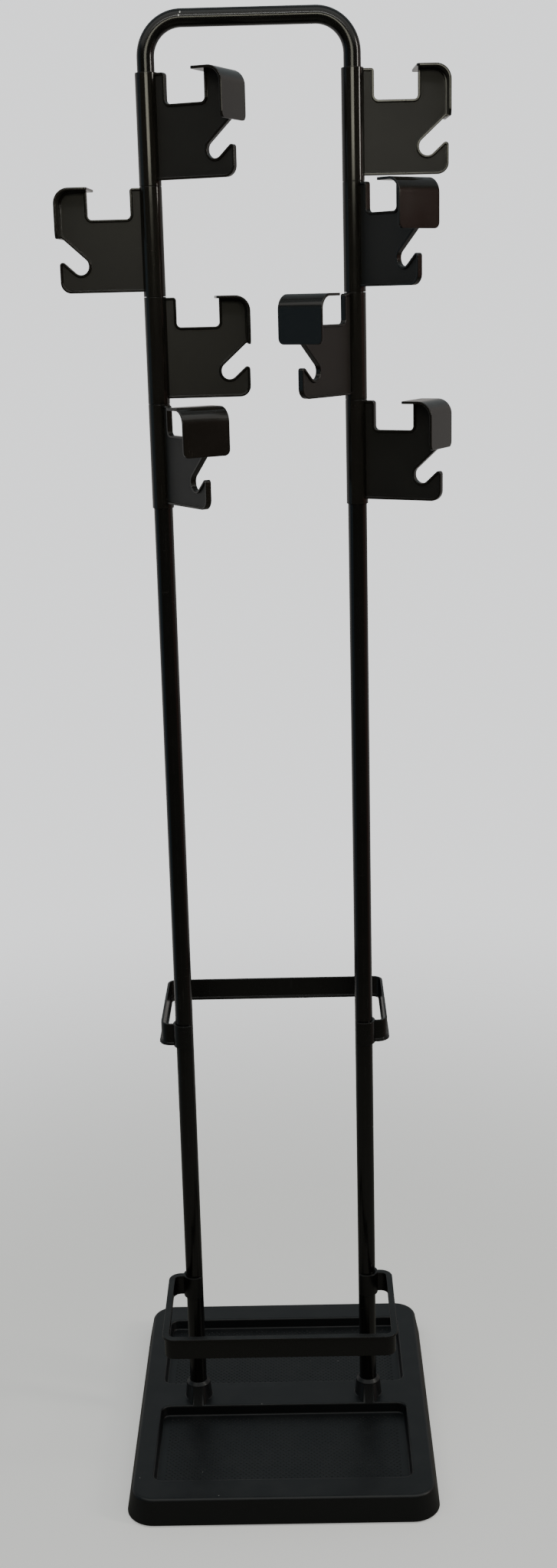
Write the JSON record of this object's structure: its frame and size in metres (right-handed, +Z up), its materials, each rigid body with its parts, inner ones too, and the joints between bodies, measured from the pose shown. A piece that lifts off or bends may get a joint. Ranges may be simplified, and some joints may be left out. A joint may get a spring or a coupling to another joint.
{
  "type": "coat rack",
  "caption": "Free-standing coat rack: twin steel poles joined by a bow, turning moulded hooks stacked on its legs, sliding umbrella rings, and a weighted base with drip trays.",
  "frame": {"origin": "on the floor, under the middle of the base, midway between the poles", "axes": "+X from the left pole to the right pole, +Y to the rear, +Z up"},
  "size_m": [0.4415, 0.45, 1.7595],
  "materials": {
    "black_enamel": "baked black enamel, satin to gloss",
    "hook_plastic": "moulded brown-black plastic, satin gloss",
    "ring_plastic": "moulded black plastic, satin",
    "base_plastic": "moulded blue-black plastic, fine grain",
    "ballast_steel": "plain rolled steel",
    "zinc_steel": "zinc plated",
    "foot_rubber": "matt black"
  },
  "bodies": {
    "stand": {"base_shell": "base_plastic", "ballast_plate": "ballast_steel", "top_bow": "black_enamel", "left_pole": "black_enamel", "left_pole_plug": "zinc_steel", "left_pole_bolt": "zinc_steel", "right_pole": "black_enamel", "right_pole_plug": "zinc_steel", "right_pole_bolt": "zinc_steel", "foot_front_left": "foot_rubber", "plate_screw_front_left": "zinc_steel", "foot_front_right": "foot_rubber", "plate_screw_front_right": "zinc_steel", "foot_rear_left": "foot_rubber", "plate_screw_rear_left": "zinc_steel", "foot_rear_right": "foot_rubber", "plate_screw_rear_right": "zinc_steel"},
    "hook_left_1": {"hook_left_1": "hook_plastic"},
    "hook_left_2": {"hook_left_2": "hook_plastic"},
    "hook_left_3": {"hook_left_3": "hook_plastic"},
    "hook_left_4": {"hook_left_4": "hook_plastic"},
    "hook_right_1": {"hook_right_1": "hook_plastic"},
    "hook_right_2": {"hook_right_2": "hook_plastic"},
    "hook_right_3": {"hook_right_3": "hook_plastic"},
    "hook_right_4": {"hook_right_4": "hook_plastic"},
    "upper_umbrella_ring": {"upper_umbrella_ring": "ring_plastic"},
    "lower_umbrella_ring": {"lower_umbrella_ring": "ring_plastic"}
  },
  "joints": [
    {"name": "hook_left_1_turn", "type": "hinge", "parent": "stand", "child": "hook_left_1", "pos_m": [-0.11326, 0, 1.63514], "axis": [0, 0, 1], "continuous": true},
    {"name": "hook_left_2_turn", "type": "hinge", "parent": "stand", "child": "hook_left_2", "pos_m": [-0.11326, 0, 1.51617], "axis": [0, 0, 1], "continuous": true},
    {"name": "hook_left_3_turn", "type": "hinge", "parent": "stand", "child": "hook_left_3", "pos_m": [-0.11326, 0, 1.3972], "axis": [0, 0, 1], "continuous": true},
    {"name": "hook_left_4_turn", "type": "hinge", "parent": "stand", "child": "hook_left_4", "pos_m": [-0.11326, 0, 1.27823], "axis": [0, 0, 1], "continuous": true},
    {"name": "hook_right_1_turn", "type": "hinge", "parent": "stand", "child": "hook_right_1", "pos_m": [0.11326, 0, 1.63514], "axis": [0, 0, 1], "continuous": true},
    {"name": "hook_right_2_turn", "type": "hinge", "parent": "stand", "child": "hook_right_2", "pos_m": [0.11326, 0, 1.51617], "axis": [0, 0, 1], "continuous": true},
    {"name": "hook_right_3_turn", "type": "hinge", "parent": "stand", "child": "hook_right_3", "pos_m": [0.11326, 0, 1.3972], "axis": [0, 0, 1], "continuous": true},
    {"name": "hook_right_4_turn", "type": "hinge", "parent": "stand", "child": "hook_right_4", "pos_m": [0.11326, 0, 1.27823], "axis": [0, 0, 1], "continuous": true},
    {"name": "upper_ring_slide", "type": "slide", "parent": "stand", "child": "upper_umbrella_ring", "axis": [0, 0, 1], "range_m": [-0.15, 0.6]},
    {"name": "lower_ring_slide", "type": "slide", "parent": "stand", "child": "lower_umbrella_ring", "axis": [0, 0, 1], "range_m": [-0.1, 0.15]}
  ]
}
